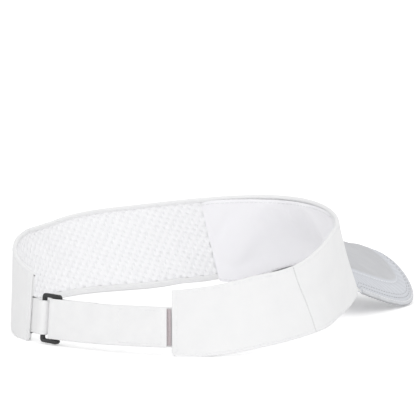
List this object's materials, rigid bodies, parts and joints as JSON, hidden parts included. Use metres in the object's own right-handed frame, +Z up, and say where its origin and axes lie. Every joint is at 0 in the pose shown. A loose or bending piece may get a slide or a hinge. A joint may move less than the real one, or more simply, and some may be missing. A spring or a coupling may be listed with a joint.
{
  "type": "sun visor",
  "caption": "White fabric sun visor, open on top, with an arched stiffened brim, a padded sweatband, mesh lining and a hook-and-loop strap through a black ring at the back.",
  "frame": {"origin": "on the table the visor rests on, under the middle of its bounding box in plan", "axes": "+Z up from the table, -Y forward along the brim, -X to the wearer's right"},
  "size_m": [0.174, 0.2436, 0.0605],
  "materials": {
    "shell_fabric": "plain woven white",
    "stiffener": "stiffened white gauze",
    "sweatband_fabric": "smooth white knit",
    "foam": "soft foam",
    "mesh_fabric": "white spacer mesh",
    "brim_fabric": "stitched white twill",
    "brim_core": "moulded board",
    "webbing": "white webbing",
    "ring_plastic": "black moulded"
  },
  "bodies": {
    "visor": {"front_panel": "shell_fabric", "right_rear_panel": "shell_fabric", "left_rear_panel": "shell_fabric", "front_buckram": "stiffener", "sweatband_cover": "sweatband_fabric", "sweatband_foam": "foam", "right_mesh_lining": "mesh_fabric", "left_mesh_lining": "mesh_fabric", "right_bottom_tape": "shell_fabric", "left_bottom_tape": "shell_fabric", "right_end_facing": "shell_fabric", "left_end_facing": "shell_fabric", "brim_top_cover": "brim_fabric", "brim_board": "brim_core", "brim_under_cover": "brim_fabric", "brim_edge_binding": "brim_fabric", "strap_base": "webbing", "strap_loop_patch": "webbing", "ring_tab": "webbing"},
    "ring": {"slider_ring": "ring_plastic"},
    "strap_end": {"strap_tail": "webbing", "strap_hook_patch": "webbing"}
  },
  "joints": [
    {"name": "ring_swing", "type": "hinge", "parent": "visor", "child": "ring", "pos_m": [0.03411, 0.11562, 0.01311], "axis": [-0.0342, -0.0589, 0.9977], "range_deg": [-4, 4]},
    {"name": "strap_peel", "type": "hinge", "parent": "visor", "child": "strap_end", "pos_m": [0.01585, 0.12055, 0.01322], "axis": [0.0154, 0.0669, -0.9976], "range_deg": [0, 160]}
  ]
}
